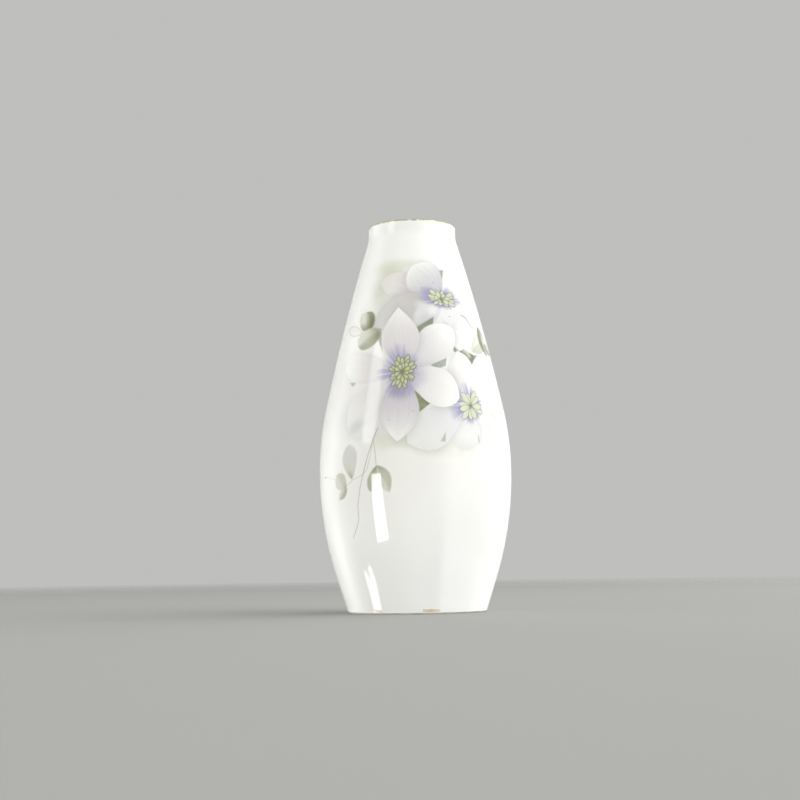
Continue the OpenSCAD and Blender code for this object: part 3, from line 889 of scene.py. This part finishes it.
def panel(name, azimuths, heights, strength, reach, soft, slant=0, diffuse=True, gloss=True, glow=None):
    """A soft studio light: a patch of a sphere round the vase, between azimuths counted to the right
    from the front and heights above level, in degrees. Its borders fade over soft degrees, its
    lower end lies slant degrees to the right of its upper end, and glow shapes it further."""
    azimuth, height = np.meshgrid(np.radians(np.linspace(*azimuths, PANEL_POINTS)),
                                  np.radians(np.linspace(*heights, PANEL_POINTS)))
    turned = azimuth + np.radians(slant) * np.linspace(1, 0, PANEL_POINTS)[:, None]
    points = np.stack((np.sin(turned) * np.cos(height), -np.cos(turned) * np.cos(height),
                       np.sin(height)), -1)
    points = points * reach + PANEL_CENTRE
    mesh = bpy.data.meshes.new(name)
    faces = grid_faces(PANEL_POINTS, PANEL_POINTS)
    mesh.from_pydata(points.reshape(-1, 3).tolist(), [], faces.tolist())
    side = np.degrees(np.minimum(azimuth - azimuth.min(), azimuth.max() - azimuth)) / soft[0]
    end = np.degrees(np.minimum(height - height.min(), height.max() - height)) / soft[1]
    amount = smooth(side, 0, 1) * smooth(end, 0, 1)
    if glow is not None:
        amount = amount * glow(np.degrees(azimuth), np.degrees(height))
    mesh.attributes.new("glow", "FLOAT", "POINT").data.foreach_set("value", amount.ravel())
    mesh.materials.append(glowing_material(name, strength))
    light = bpy.data.objects.new(name, mesh)
    bpy.context.scene.collection.objects.link(light)
    light.visible_camera = False
    light.visible_shadow = False
    light.visible_diffuse = diffuse
    light.visible_glossy = gloss


# How each light's glow depends on the azimuth and the height, in degrees.

def middle_strip(azimuth, height):
    return smooth(azimuth - 0.2 * (height + 21.6), -58, -57)


def high_strip(azimuth, height):
    """Its left and right borders wander as they go up, and it is dimmer there."""
    left = np.interp(height, (12, 18, 32, 36), (-66, -69, -68, -58))
    right = np.interp(height, (12, 18, 24, 33, 36), (-53, -50, -47, -47, -53))
    return (smooth(azimuth - left, 0, 1) * smooth(right - azimuth, 0, 1)
            * smooth(-height, -36.5, -35) * (1 - 0.35 * smooth(height, 14, 22)))


def low_strip(azimuth, height):
    """It has a notch in its upper end."""
    return 1 - smooth(height, -29.8, -29.2) * smooth(-np.abs(azimuth + 77.6), -2.4, -1.4)


def window(azimuth, height):
    """A soft column that bends, narrows and dims as it goes up."""
    middle = np.interp(height, (-40, -30, -15, 0, 30), (-98, -109, -122, -122, -97))
    width = np.interp(height, (20, 45), (23, 16))
    return np.exp(-((azimuth - middle) / width) ** 2) * (1 - 0.35 * smooth(height, 0, 20))


def softbox(azimuth, height):
    return 1 - 0.45 * smooth(azimuth, 95, 150)


# A strip on the left, in three lengths: its reflections are the long bars down the front.
panel("strip light", (-58, -41), (-21.6, 1.3), 12.0, 1.24, (1.0, 0.4), slant=5.5, glow=middle_strip)
panel("strip light high", (-68, -48), (12, 46), 4.5, 1.28, (0.8, 1.5), glow=high_strip)
panel("strip light low", (-84.5, -69.5), (-42, -26.3), 7.5, 1.32, (0.7, 0.3), slant=10.5,
      diffuse=False, glow=low_strip)
# The soft column of light down the left side, and what fills the rest of that side.
panel("left window", (-170, -70), (-50, 60), 1.7, 1.36, (5, 10), glow=window)
panel("left fill", (-175, -50), (-55, 0), 0.45, 1.40, (15, 20), gloss=False)
panel("low fill", (-140, 30), (-65, -2), 1.15, 1.44, (22, 12))
panel("left wall", (-128, -64), (-25, 34), 0.75, 1.64, (12, 12), diffuse=False)
panel("front fill", (-80, 60), (-55, 5), 0.65, 1.48, (20, 10))
# The large soft light that turns the right side white.
panel("right softbox", (12, 178), (-55, 70), 2.1, 1.52, (45, 12), glow=softbox)
panel("right low box", (35.5, 150), (-55, -17), 0.9, 1.56, (3, 5))
panel("top softbox", (-50, 70), (50, 88), 0.6, 1.60, (15, 10))

FLOOR_R, FLOOR_POINTS = 4.0, 96
FLOOR_DROP = 0.00003                    # metres from the foot down to the floor
FLOOR_COLOUR = (0.38, 0.38, 0.37, 1)
FADE_FROM, FADE_TO = 0.5, 1.5           # metres from the vase where the floor fades out
BACKDROP = (0.52, 0.52, 0.51, 1)

floor = bpy.data.meshes.new("floor")
ring = [(FLOOR_R * math.cos(a), FLOOR_R * math.sin(a), -FLOOR_DROP)
        for a in np.arange(FLOOR_POINTS) * 2 * math.pi / FLOOR_POINTS]
floor.from_pydata(ring, [], [list(range(FLOOR_POINTS))])
n = Nodes("pale floor")
spread = n.add("ShaderNodeVectorMath", {0: n.place()}, operation="LENGTH").outputs["Value"]
matt = n.add("ShaderNodeBsdfDiffuse", {"Color": FLOOR_COLOUR})
clear = n.add("ShaderNodeBsdfTransparent")
fade = n.span(spread, FADE_FROM, FADE_TO)
floor.materials.append(n.surface(n.add("ShaderNodeMixShader", {0: fade, 1: matt.outputs[0],
                                                               2: clear.outputs[0]})))
floor_piece = bpy.data.objects.new("floor", floor)
bpy.context.scene.collection.objects.link(floor_piece)
floor_piece.visible_glossy = False
floor_piece.visible_shadow = False

world = bpy.data.worlds.new("studio")
world.use_nodes = True
world.node_tree.nodes["Background"].inputs["Color"].default_value = BACKDROP
world.node_tree.nodes["Background"].inputs["Strength"].default_value = 1.0
bpy.context.scene.world = world
bpy.context.scene.view_settings.view_transform = "Standard"
bpy.context.scene.view_settings.look = "None"

LENS, SENSOR = 63.2, 36     # mm
CAMERA_AT = (-0.006, -0.58, 0.0182)
PITCH, ROLL = 6.8, -0.8     # degrees: the camera looks slightly up, and is turned a little

camera_data = bpy.data.cameras.new("camera")
camera_data.lens, camera_data.sensor_width = LENS, SENSOR
camera = bpy.data.objects.new("camera", camera_data)
bpy.context.scene.collection.objects.link(camera)
camera.matrix_world = (Matrix.Translation(CAMERA_AT)
                       @ Matrix.Rotation(math.radians(90 + PITCH), 4, "X")
                       @ Matrix.Rotation(math.radians(ROLL), 4, "Z"))
bpy.context.scene.camera = camera
